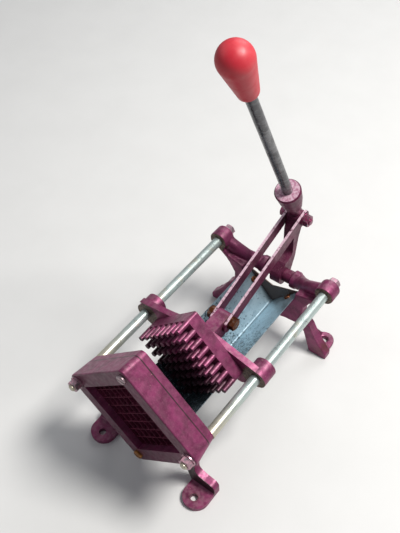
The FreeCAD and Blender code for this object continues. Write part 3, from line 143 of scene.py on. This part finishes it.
# Shader helpers
class Shader:
    """A node material with short calls for the nodes that the recipes below use."""

    def __init__(self, name):
        self.material = bpy.data.materials.new(name)
        self.material.use_nodes = True
        self.tree = self.material.node_tree
        self.principled = self.tree.nodes["Principled BSDF"]
        self.place = self.add("ShaderNodeTexCoord").outputs["Object"]

    def add(self, kind, **settings):
        node = self.tree.nodes.new(kind)
        for key, value in settings.items():
            setattr(node, key, value)
        return node

    def link(self, source, target):
        self.tree.links.new(source, target)

    def feed(self, value, socket):
        if isinstance(value, bpy.types.NodeSocket):
            self.link(value, socket)
        else:
            socket.default_value = value

    def set(self, socket, value):
        if isinstance(value, tuple):
            value = (*value, 1.0)
        self.feed(value, self.principled.inputs[socket])

    def stretched(self, scale, turn):
        node = self.add("ShaderNodeMapping")
        node.inputs["Scale"].default_value = scale
        node.inputs["Rotation"].default_value = turn
        self.link(self.place, node.inputs["Vector"])
        return node.outputs["Vector"]

    def noise(self, scale, detail=4.0, rough=0.55, where=None, offset=0.0):
        node = self.add("ShaderNodeTexNoise", noise_dimensions="4D")
        node.inputs["Scale"].default_value = scale
        node.inputs["Detail"].default_value = detail
        node.inputs["Roughness"].default_value = rough
        node.inputs["W"].default_value = offset
        self.link(where or self.place, node.inputs["Vector"])
        return node.outputs["Fac"]

    def cell_shade(self, scale):
        """One shade of grey for each cell of a random mosaic."""
        node = self.add("ShaderNodeTexVoronoi")
        node.inputs["Scale"].default_value = scale
        self.link(self.place, node.inputs["Vector"])
        grey = self.add("ShaderNodeSeparateColor")
        self.link(node.outputs["Color"], grey.inputs["Color"])
        return grey.outputs["Red"]

    def along(self, axis):
        """Place of the shaded point along an axis of the object."""
        split = self.add("ShaderNodeSeparateXYZ")
        self.link(self.place, split.inputs["Vector"])
        return split.outputs[axis]

    def ramp(self, value, low, high, out_low=0.0, out_high=1.0):
        node = self.add("ShaderNodeMapRange", interpolation_type="SMOOTHSTEP")
        self.feed(value, node.inputs["Value"])
        node.inputs["From Min"].default_value = low
        node.inputs["From Max"].default_value = high
        node.inputs["To Min"].default_value = out_low
        node.inputs["To Max"].default_value = out_high
        return node.outputs["Result"]

    def math(self, operation, first, second=0.0):
        node = self.add("ShaderNodeMath", operation=operation, use_clamp=operation != "SUBTRACT")
        self.feed(first, node.inputs[0])
        self.feed(second, node.inputs[1])
        return node.outputs["Value"]

    def mix(self, amount, first, second):
        node = self.add("ShaderNodeMix", data_type="RGBA")
        self.feed(amount, node.inputs[0])
        for socket, value in ((node.inputs[6], first), (node.inputs[7], second)):
            self.feed((*value, 1.0) if isinstance(value, tuple) else value, socket)
        return node.outputs[2]

    def near(self, centre, inner, outer, ragged=0.0):
        """1 inside a ball round a point, falling to 0 outside, with a ragged border if asked."""
        node = self.add("ShaderNodeVectorMath", operation="DISTANCE")
        self.link(self.place, node.inputs[0])
        node.inputs[1].default_value = centre
        distance = node.outputs["Value"]
        if ragged:
            shift = self.math("MULTIPLY", self.noise(260.0), ragged)
            distance = self.math("ADD", distance, shift)
        return self.ramp(distance, inner, outer, 1.0, 0.0)

    def facing(self, axis):
        """Share of the surface's normal along an axis of the world."""
        split = self.add("ShaderNodeSeparateXYZ")
        self.link(self.add("ShaderNodeNewGeometry").outputs["Normal"], split.inputs["Vector"])
        return split.outputs[axis]

    def toward(self, direction):
        """1 where the surface faces a direction, 0 where it doesn't."""
        node = self.add("ShaderNodeVectorMath", operation="DOT_PRODUCT")
        self.link(self.add("ShaderNodeNewGeometry").outputs["Normal"], node.inputs[0])
        node.inputs[1].default_value = direction
        return self.ramp(node.outputs["Value"], 0.65, 0.85)

    def bump(self, height, strength, distance):
        node = self.add("ShaderNodeBump")
        node.inputs["Strength"].default_value = strength
        node.inputs["Distance"].default_value = distance
        self.link(height, node.inputs["Height"])
        self.link(node.outputs["Normal"], self.principled.inputs["Normal"])


# Materials
def weathered_paint(s, tint, dark, dust):
    """Clouded metallic paint with grain, dust on what faces up, chips and pits."""
    colour = s.mix(s.ramp(s.noise(70.0, 6.0), 0.36, 0.66, 0.0, 0.70), tint, dark)
    colour = s.mix(s.ramp(s.noise(1300.0, 3.0), 0.50, 0.72, 0.0, 0.30), colour, PAINT_PINK)
    dusty = s.ramp(s.facing("Z"), 0.55, 1.0, 0.0, dust)
    colour = s.mix(s.math("MULTIPLY", dusty, s.ramp(s.noise(180.0, 5.0), 0.4, 0.6)), colour, DUST)
    colour = s.mix(s.ramp(s.noise(430.0, 2.0, offset=3.0), 0.715, 0.735), colour, CHIP)
    return s.mix(s.ramp(s.noise(520.0, 2.0, offset=11.0), 0.70, 0.74), colour, GRIME)


def bare_face(s, colour, centre, reach, direction, pale, deep):
    """Face without paint round a point, where it faces a direction."""
    patch = s.math("MULTIPLY", s.near(centre, reach, reach * 1.1), s.toward(direction))
    return s.mix(patch, colour, s.mix(s.ramp(s.noise(380.0, 5.0), 0.40, 0.62), pale, deep))


def rust_patch(s, colour, centre, inner, outer):
    """Ragged rust stain round a point."""
    stain = s.mix(s.ramp(s.noise(420.0, 4.0), 0.4, 0.65), RUST, RUST_DARK)
    return s.mix(s.near(centre, inner, outer, 0.5 * outer), colour, stain)


def painted_shade_on_front(s, colour, amount):
    """Painted shade: darker on what faces forward."""
    ahead = s.ramp(s.math("MULTIPLY", s.facing("Y"), -1.0), 0.6, 0.95, 0.0, amount)
    return s.mix(ahead, colour, FRONT_SHADE)


def painted_shade_on_pins(s, colour, root_y, low, high):
    """Painted shade on the pins ahead of their plate, darker row by row toward the tray."""
    on_pins = s.ramp(s.along("Y"), root_y - 0.001, root_y, 1.0, 0.0)
    height = s.math("ADD", s.along("Z"), s.math("MULTIPLY", s.noise(90.0), 0.02))
    return s.mix(s.math("MULTIPLY", on_pins, s.ramp(height, low, high, 0.88, 0.0)), colour, PIN_SHADE)


def seam_line(s, colour, seam_y):
    """Dirt in the joint between the housing and the leg plate."""
    away = s.math("ABSOLUTE", s.math("SUBTRACT", s.along("Y"), seam_y))
    return s.mix(s.ramp(away, 0.0004, 0.0009, 0.9, 0.0), colour, GRIME)


def casting_paint(name, rust=(), bare=(), tint=PAINT, dark=PAINT_DARK, metal=0.5, rough=0.36,
                  seam=None, dust=0.22, gloss=0.55, front_shade=0.0, pins=None):
    """Metallic maroon paint on a sand casting, with its wear at given places, and painted shade
    on forward faces and lower pins when asked.
    """
    s = Shader(name)
    colour = weathered_paint(s, tint, dark, dust)
    for spot in bare:
        colour = bare_face(s, colour, *spot)
    for spot in rust:
        colour = rust_patch(s, colour, *spot)
    # Painted shade: the faces that look forward are darkened
    if front_shade:
        colour = painted_shade_on_front(s, colour, front_shade)
    # Painted shade: the lower pins are darkened
    if pins is not None:
        colour = painted_shade_on_pins(s, colour, *pins)
    if seam is not None:
        colour = seam_line(s, colour, seam)
    s.set("Base Color", colour)
    s.set("Metallic", metal)
    s.set("Roughness", s.ramp(s.noise(210.0, 5.0, offset=7.0), 0.3, 0.75, rough, rough + 0.22))
    s.principled.inputs["Specular IOR Level"].default_value = gloss
    s.principled.inputs["Coat Weight"].default_value = 0.18 * gloss
    s.principled.inputs["Coat Roughness"].default_value = 0.3
    grain = s.math("MULTIPLY", s.noise(1300.0, 3.0), 0.35)
    cloud = s.math("MULTIPLY", s.noise(70.0, 6.0), 0.6)
    s.bump(s.math("ADD", grain, cloud), 0.5, 0.0004)
    return s.material


def bright_steel(name, colour=STEEL, dull=BEIGE, streaks=0.35, rough=0.26, lean=0.0,
                 dull_end=None):
    """Bar steel with streaks along it, dull patches and dark specks of wear."""
    s = Shader(name)
    along = s.stretched((240.0, 9.0, 240.0), (math.radians(lean), 0, 0))
    streak = s.ramp(s.noise(1.0, 5.0, where=along), 0.45, 0.70)
    tone = s.mix(s.math("MULTIPLY", streak, streaks), colour, STEEL_DARK)
    patch = s.ramp(s.noise(60.0, 5.0, offset=2.0), 0.52, 0.66, 0.0, 0.45)
    if dull_end is not None:
        near_end = s.ramp(s.along("Y"), dull_end, dull_end + 0.07, 0.75, 0.0)
        patch = s.math("MAXIMUM", patch, near_end)
    tone = s.mix(patch, tone, dull)
    speck = s.ramp(s.noise(520.0, 2.0, offset=5.0), 0.66, 0.69)
    tone = s.mix(speck, tone, RUST_DARK)
    s.set("Base Color", tone)
    s.set("Metallic", 0.65)
    s.set("Roughness", s.ramp(s.noise(90.0, 5.0), 0.3, 0.7, rough, rough + 0.2))
    s.bump(s.noise(1100.0, 3.0), 0.15, 0.0002)
    return s.material


def galvanised(name):
    """Zinc sheet with a faint spangle, and dirt that gathers near the die."""
    s = Shader(name)
    tone = s.mix(s.math("MULTIPLY", s.cell_shade(120.0), 0.5), TRAY_LIGHT, TRAY_DARK)
    ahead = s.ramp(s.along("Y"), 0.10, 0.23, 0.8, 0.0)
    speck = s.noise(330.0, 6.0, 0.75)
    dirt = s.ramp(s.math("ADD", speck, s.math("MULTIPLY", ahead, 0.20)), 0.57, 0.63)
    tone = s.mix(s.math("MULTIPLY", dirt, 0.85), tone, TRAY_DIRT)
    behind = s.ramp(s.along("Y"), END_PLATE_Y - 0.0016, END_PLATE_Y - 0.0013)
    tone = s.mix(behind, tone, TRAY_END)
    s.set("Base Color", tone)
    s.set("Metallic", 0.75)
    s.set("Roughness", s.ramp(s.noise(90.0, 4.0), 0.3, 0.7, 0.34, 0.55))
    s.bump(s.noise(300.0, 4.0), 0.25, 0.0003)
    return s.material


def red_plastic(name):
    """Moulded knob, a little chalky where the hand has rubbed it."""
    s = Shader(name)
    rub = s.ramp(s.noise(38.0, 5.0), 0.45, 0.75)
    tone = s.mix(s.math("MULTIPLY", rub, 0.55), KNOB, KNOB_WORN)
    scuff = s.ramp(s.noise(260.0, 3.0, offset=4.0), 0.70, 0.74)
    tone = s.mix(scuff, tone, KNOB_SCUFF)
    s.set("Base Color", tone)
    s.set("Roughness", s.ramp(s.noise(120.0, 4.0), 0.3, 0.7, 0.38, 0.55))
    s.principled.inputs["Specular IOR Level"].default_value = 0.55
    s.principled.inputs["Subsurface Weight"].default_value = 0.04
    s.bump(s.noise(500.0, 3.0), 0.12, 0.0003)
    return s.material


def plated(name, tint, rust, rusted=None):
    """Zinc plated or lightly rusted fastener."""
    s = Shader(name)
    tone = s.mix(s.ramp(s.noise(300.0, 4.0), 0.4, 0.7), tint, STEEL_DARK)
    spread = s.ramp(s.noise(160.0, 5.0, offset=9.0), 0.75 - 0.5 * rust, 0.85 - 0.4 * rust)
    tone = s.mix(spread, tone, RUST)
    if rusted is not None:
        tone = s.mix(s.near(rusted, 0.008, 0.012), tone, SCREW_RUST)
    s.set("Base Color", tone)
    s.set("Metallic", 0.85)
    s.set("Roughness", s.ramp(s.noise(200.0, 4.0), 0.3, 0.7, 0.28, 0.55))
    s.bump(s.noise(700.0, 4.0), 0.3, 0.0003)
    return s.material


def link_paint(name):
    """Maroon paint of the links, pale on their upward faces: partly worn metal, partly painted
    highlight.
    """
    s = Shader(name)
    # Upward faces turn pale: partly wear, partly painted highlight
    upward = s.ramp(s.facing("Z"), 0.80, 0.97)
    rub = s.math("MULTIPLY", upward, s.ramp(s.noise(300.0, 4.0), 0.30, 0.50))
    colour = s.mix(s.ramp(s.noise(70.0, 6.0), 0.38, 0.68, 0.0, 0.6), DEEP_PAINT, DEEP_DARK)
    colour = s.mix(rub, colour, WORN_EDGE_AND_HIGHLIGHT)
    colour = s.mix(s.ramp(s.noise(430.0, 2.0, offset=3.0), 0.69, 0.71), colour, CHIP)
    s.set("Base Color", colour)
    s.set("Metallic", 0.3)
    s.principled.inputs["Specular IOR Level"].default_value = 0.3
    s.set("Roughness", s.ramp(s.noise(210.0, 5.0), 0.3, 0.75, 0.30, 0.52))
    s.bump(s.noise(700.0, 3.0), 0.25, 0.0003)
    return s.material


def floor_paint(name):
    """Plain pale floor."""
    s = Shader(name)
    s.set("Base Color", s.mix(s.noise(14.0, 6.0), FLOOR, FLOOR_PALE))
    s.set("Roughness", 0.9)
    return s.material


# Helpers for the CAD nodes
def dress(material, *names):
    for name in names:
        for slot in nodes[name].material_slots:
            slot.material = material


def soften(width, *names):
    """Round the sharp edges of a casting or a bar."""
    for name in names:
        edge = nodes[name].modifiers.new("soft_edges", "BEVEL")
        edge.width = width
        edge.segments = 3
        edge.limit_method = "ANGLE"
        edge.angle_limit = math.radians(38)
        edge.harden_normals = True


def middle(name):
    low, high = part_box(name)
    return (Vector(low) + Vector(high)) / 2


# Scene: floor, light and the photograph's camera
def make_floor():
    mesh = bpy.data.meshes.new("floor")
    far = FLOOR_REACH
    mesh.from_pydata([(-far, -far, 0), (far, -far, 0), (far, far, 0), (-far, far, 0)],
                     [], [(0, 1, 2, 3)])
    floor = bpy.data.objects.new("floor", mesh)
    bpy.context.collection.objects.link(floor)
    mesh.materials.append(floor_paint("pale_floor"))


def area_light(name, place, size, watts, colour=(1, 1, 1)):
    """Round lamp that faces the model."""
    data = bpy.data.lights.new(name, "AREA")
    data.shape = "DISK"
    data.size = size
    data.energy = watts
    data.color = colour
    lamp = bpy.data.objects.new(name, data)
    bpy.context.collection.objects.link(lamp)
    lamp.location = place
    lamp.rotation_euler = (Vector(LIGHT_AIM) - Vector(place)).to_track_quat("-Z", "Y").to_euler()


def make_light():
    area_light("key", (0.75, 0.55, 1.7), 0.6, 42, (1.0, 0.98, 0.95))
    area_light("fill", (-1.3, -0.5, 1.6), 1.4, 2.5, (0.94, 0.97, 1.0))
    area_light("back", (-0.3, 1.6, 1.2), 1.0, 9)
    world = bpy.data.worlds.new("soft_sky")
    world.use_nodes = True
    sky = world.node_tree.nodes["Background"]
    sky.inputs["Color"].default_value = (0.9, 0.93, 1.0, 1.0)
    sky.inputs["Strength"].default_value = 0.28
    bpy.context.scene.world = world


def make_camera():
    """Camera at the place, angles and focal length solved from the photograph."""
    level = math.cos(CAMERA_PITCH)
    ahead = Vector((-math.sin(CAMERA_YAW) * level, math.cos(CAMERA_YAW) * level,
                    -math.sin(CAMERA_PITCH)))
    right = Vector((math.cos(CAMERA_YAW), math.sin(CAMERA_YAW), 0.0))
    up = right.cross(ahead)
    side = math.cos(CAMERA_ROLL) * right + math.sin(CAMERA_ROLL) * up
    top = math.cos(CAMERA_ROLL) * up - math.sin(CAMERA_ROLL) * right
    data = bpy.data.cameras.new("camera")
    data.sensor_fit = "AUTO"
    data.sensor_width = SENSOR_WIDTH
    data.lens = FOCAL_PIXELS / LONG_SIDE_PIXELS * SENSOR_WIDTH
    camera = bpy.data.objects.new("camera", data)
    bpy.context.collection.objects.link(camera)
    turn = Matrix((side, top, -ahead)).transposed().to_4x4()
    camera.matrix_world = Matrix.Translation(CAMERA_PLACE) @ turn
    bpy.context.scene.camera = camera


# Mesh helpers
def prism(bm, points, depth):
    """Closed prism from a flat outline and the vector of its depth."""
    near_side = [bm.verts.new(point) for point in points]
    far_side = [bm.verts.new(Vector(point) + depth) for point in points]
    count = len(points)
    bmesh.ops.triangulate(bm, faces=[bm.faces.new(near_side), bm.faces.new(far_side[::-1])])
    for index in range(count):
        after = (index + 1) % count
        bm.faces.new((near_side[index], near_side[after], far_side[after], far_side[index]))


def block(bm, low, high):
    prism(bm, [(low[0], low[1], low[2]), (high[0], low[1], low[2]), (high[0], high[1], low[2]),
               (low[0], high[1], low[2])], Vector((0, 0, high[2] - low[2])))


def ring(bm, centre, axis, radius):
    """Round of vertices square to an axis."""
    turn = axis.to_track_quat("Z", "Y")
    angles = [2 * math.pi * index / RING_POINTS for index in range(RING_POINTS)]
    flat = [Vector((radius * math.cos(angle), radius * math.sin(angle), 0)) for angle in angles]
    return [bm.verts.new(Vector(centre) + turn @ point) for point in flat]


def join_rings(bm, first, second):
    count = len(first)
    for index in range(count):
        after = (index + 1) % count
        bm.faces.new((first[index], first[after], second[after], second[index]))


def barrel(bm, start, end, outer, inner):
    """Cylinder with a bore through it."""
    axis = (Vector(end) - Vector(start)).normalized()
    rings = [ring(bm, place, axis, radius) for place, radius in
             ((start, inner), (start, outer), (end, outer), (end, inner))]
    for first, second in zip(rings, rings[1:] + rings[:1]):
        join_rings(bm, first, second)


def tapered_bar(bm, stations):
    """Round bar through stations of x, y, z and radius, closed at both ends."""
    places = [Vector(station[:3]) for station in stations]
    rings = []
    for index, station in enumerate(stations):
        before = places[max(index - 1, 0)]
        after = places[min(index + 1, len(places) - 1)]
        rings.append(ring(bm, places[index], (after - before).normalized(), station[3]))
    for first, second in zip(rings, rings[1:]):
        join_rings(bm, first, second)
    bm.faces.new(rings[0])
    bm.faces.new(rings[-1])


# Pieces added to the CAD
def rod_threads(name, rod, ahead):
    """Thread on the free end of a guide rod, as one winding of fine wire."""
    low, high = (Vector(corner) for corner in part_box(rod))
    centre = (low + high) / 2
    radius = (high.z - low.z) / 2 * THREAD_SHARE
    end = low.y if ahead else high.y
    inward = 1 if ahead else -1
    turns = round(THREAD_LENGTH / THREAD_PITCH)
    curve = bpy.data.curves.new(name, "CURVE")
    curve.dimensions = "3D"
    curve.bevel_depth = THREAD_WIRE
    curve.bevel_resolution = 1
    line = curve.splines.new("POLY")
    line.points.add(turns * THREAD_STEPS)
    for index, point in enumerate(line.points):
        turn = index / THREAD_STEPS
        angle = 2 * math.pi * turn
        point.co = (centre.x + radius * math.cos(angle),
                    end + inward * (THREAD_START + THREAD_PITCH * turn),
                    centre.z + radius * math.sin(angle), 1.0)
    piece = bpy.data.objects.new(name, curve)
    bpy.context.collection.objects.link(piece)
    curve.materials.append(nodes[rod].material_slots[0].material)
    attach(piece, "base")


def web_and_leg(bm, front):
    """Web under the arm and the leg, one plate from the trough's fold to the floor."""
    half = [(0, 41.5), (37.3, 85.4), (38, 94), (44, 96), (60, 100), (68, 108), (76, 106),
            (72, 103), (58, 91), (50, 77), (49.5, 66), (54, 56), (61.5, 48), (69, 33),
            (77.4, 21), (88, 9), (88, 0), (64, 0), (60, 14), (54, 34), (46, 42), (26, 40),
            (0, 33)]
    prism(bm, [(x, front, z) for x, z in half], Vector((0, REAR_WEB, 0)))


def boss_arm_and_ear(bm, front):
    """Boss on the rod, ear on the pivot pin, and the round arm that joins them."""
    rod = middle("guide_rod_right") * IN_MILLIMETRES
    pin = middle("pivot_pin") * IN_MILLIMETRES
    pin_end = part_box("pivot_pin")[1][0] * IN_MILLIMETRES
    boss_end = front + REAR_BOSS_LENGTH
    barrel(bm, (rod.x, front, rod.z), (rod.x, boss_end, rod.z), REAR_BOSS_RADIUS, ROD_BORE)
    tapered_bar(bm, [(rod.x - 2, front + 10, rod.z - 1, 8.5), (58, front + 13, 107, 8.0),
                     (44, front + 18, 96, 8.0), (33, pin.y - 4, 88, 9.0),
                     (pin_end - 1, pin.y, pin.z, 10.5)])
    barrel(bm, (EAR_INNER, pin.y, pin.z), (pin_end, pin.y, pin.z), EAR_RADIUS, PIN_BORE)


def foot_and_rib(bm, front):
    """Tongue with its hole, and the rib that slopes down to it behind the leg."""
    x, y = FOOT_HOLE
    high = FOOT_THICKNESS
    start = front + 4
    barrel(bm, (x, y, 0), (x, y, high), FOOT_RADIUS, FOOT_BORE)
    for low_x in (x - FOOT_RADIUS, x + FOOT_RADIUS / 2):
        block(bm, (low_x, start, 0), (low_x + FOOT_RADIUS / 2, y, high))
    block(bm, (x - FOOT_RADIUS, start, 0), (x + FOOT_RADIUS, y - FOOT_BORE - 2, high))
    top = front + REAR_WEB - 2
    side = x - FOOT_RADIUS
    prism(bm, [(side, top, 3), (side, y + 8, 3), (side, y + 8, high), (side, top, RIB_HEIGHT)],
          Vector((RIB_WIDTH, 0, 0)))


def rear_casting(material):
    """Rear frame as cast: round arms from the rod bosses to the ears, thin web and legs."""
    front = (Vector(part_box("rear_frame")[0]) * IN_MILLIMETRES).y
    bm = bmesh.new()
    web_and_leg(bm, front)
    boss_arm_and_ear(bm, front)
    foot_and_rib(bm, front)
    bmesh.ops.scale(bm, vec=(MILLIMETRE, MILLIMETRE, MILLIMETRE), verts=bm.verts)
    bmesh.ops.recalc_face_normals(bm, faces=bm.faces)
    mesh = bpy.data.meshes.new("rear_casting")
    bm.to_mesh(mesh)
    bm.free()
    piece = bpy.data.objects.new("rear_casting", mesh)
    bpy.context.collection.objects.link(piece)
    mesh.materials.append(material)
    piece.modifiers.new("both_sides", "MIRROR").use_clip = True
    skin = piece.modifiers.new("one_skin", "REMESH")
    skin.mode = "VOXEL"
    skin.voxel_size = MILLIMETRE
    skin.use_smooth_shade = True
    cast = piece.modifiers.new("cast_rounding", "SMOOTH")
    cast.factor = 0.5
    cast.iterations = 8
    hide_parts("rear_frame")
    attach(piece, "base")


# Dressing of the whole
def dress_castings():
    rod = middle("guide_rod_right")
    sleeve_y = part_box("carriage")[0][1]
    boss_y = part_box("rear_frame")[0][1]
    seam_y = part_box("front_housing")[1][1]
    pin_root_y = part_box("pusher_plate")[1][1] - PUSHER_PLATE_DEPTH
    sleeve_faces = [((side * rod.x, sleeve_y, rod.z), 0.016, FORWARD, BARE_IRON, RUST_DARK)
                    for side in (-1, 1)]
    boss_faces = [((side * rod.x, boss_y, rod.z), 0.014, FORWARD, BARE_IRON, RUST_DARK)
                  for side in (-1, 1)]
    castings = {
        # The housing's forward faces are darkened as painted shade
        "front_housing": {"rust": [((0.0, -0.008, 0.042), 0.004, 0.014)], "seam": seam_y,
                          "front_shade": 0.65},
        "front_leg_plate": {"rust": [((0.068, 0.0, 0.006), 0.003, 0.010)], "seam": seam_y},
        "rear_frame": {"rust": [((0.078, 0.250, 0.012), 0.004, 0.020)], "bare": boss_faces},
        "lever": {"bare": [(SOCKET_TOP, 0.019, HANDLE_UP, SOCKET_PALE, SOCKET_PINK)],
                  "tint": DEEP_PAINT, "dark": DEEP_DARK, "dust": 0.1, "metal": 0.3, "gloss": 0.3},
        "carriage": {"rust": [((0.010, 0.146, 0.117), 0.009, 0.016)], "bare": sleeve_faces},
        # The pusher's lower pins are darkened as painted shade
        "pusher_plate": {"pins": (pin_root_y, rod.z - 0.015, rod.z + 0.045)},
    }
    # Each entry holds real wear and also painted shade
    for name, wear_and_shade in castings.items():
        material = casting_paint("paint_" + name, **wear_and_shade)
        dress(material, name)
        if name == "rear_frame":
            rear_casting(material)
    soften(0.0011, "front_housing", "front_leg_plate", "lever", "carriage")
    soften(0.0006, "pusher_plate", "link_left", "link_right")


def dress_bars_sheet_and_blades():
    dress(link_paint("paint_links"), "link_left", "link_right")
    dress(bright_steel("rod_steel", dull_end=0.02), "guide_rod_left", "guide_rod_right")
    dress(bright_steel("handle_steel", HANDLE, HANDLE_DULL, 0.7, 0.20, 90 - HANDLE_LEAN),
          "handle_rod")
    dress(red_plastic("knob_red"), "knob")
    dress(galvanised("tray_zinc"), "product_tray")
    blades = [name for name in nodes if name.startswith("blade_")]
    # Blades painted dark maroon with little sheen: painted shade of the recess behind the front
    # frame
    dress(casting_paint("die_painted_shade", tint=DIE_SHADE, dark=DIE_SHADE_DARK, metal=0.0, rough=0.75,
                        dust=0.0, gloss=0.12), *blades)


def dress_fasteners():
    dress(plated("zinc_pink", ROD_NUT_TINT, 0.15), "front_rod_nuts", "front_rod_washers",
          "rear_rod_nuts", "rear_rod_washers")
    low_screw = (0.0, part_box("corner_screws")[0][1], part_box("corner_screws")[0][2] + 0.005)
    dress(plated("zinc_dull", CORNER_SCREW_TINT, 0.35, low_screw), "pivot_pin", "corner_screws")
    dress(plated("painted_bolt", LINK_BOLT_TINT, 0.15), "link_bolt", "link_bolt_nut",
          "link_washers")
    dress(plated("rusty", RUSTY_SCREW_TINT, 0.8), "carriage_link_screws", "carriage_link_washers",
          "tray_screws")


def add_threads():
    for side in ("left", "right"):
        rod_threads("rod_thread_front_" + side, "guide_rod_" + side, True)
        rod_threads("rod_thread_rear_" + side, "guide_rod_" + side, False)


dress_castings()
dress_bars_sheet_and_blades()
dress_fasteners()
add_threads()
make_floor()
make_light()
make_camera()
bpy.context.scene.view_settings.view_transform = "Standard"
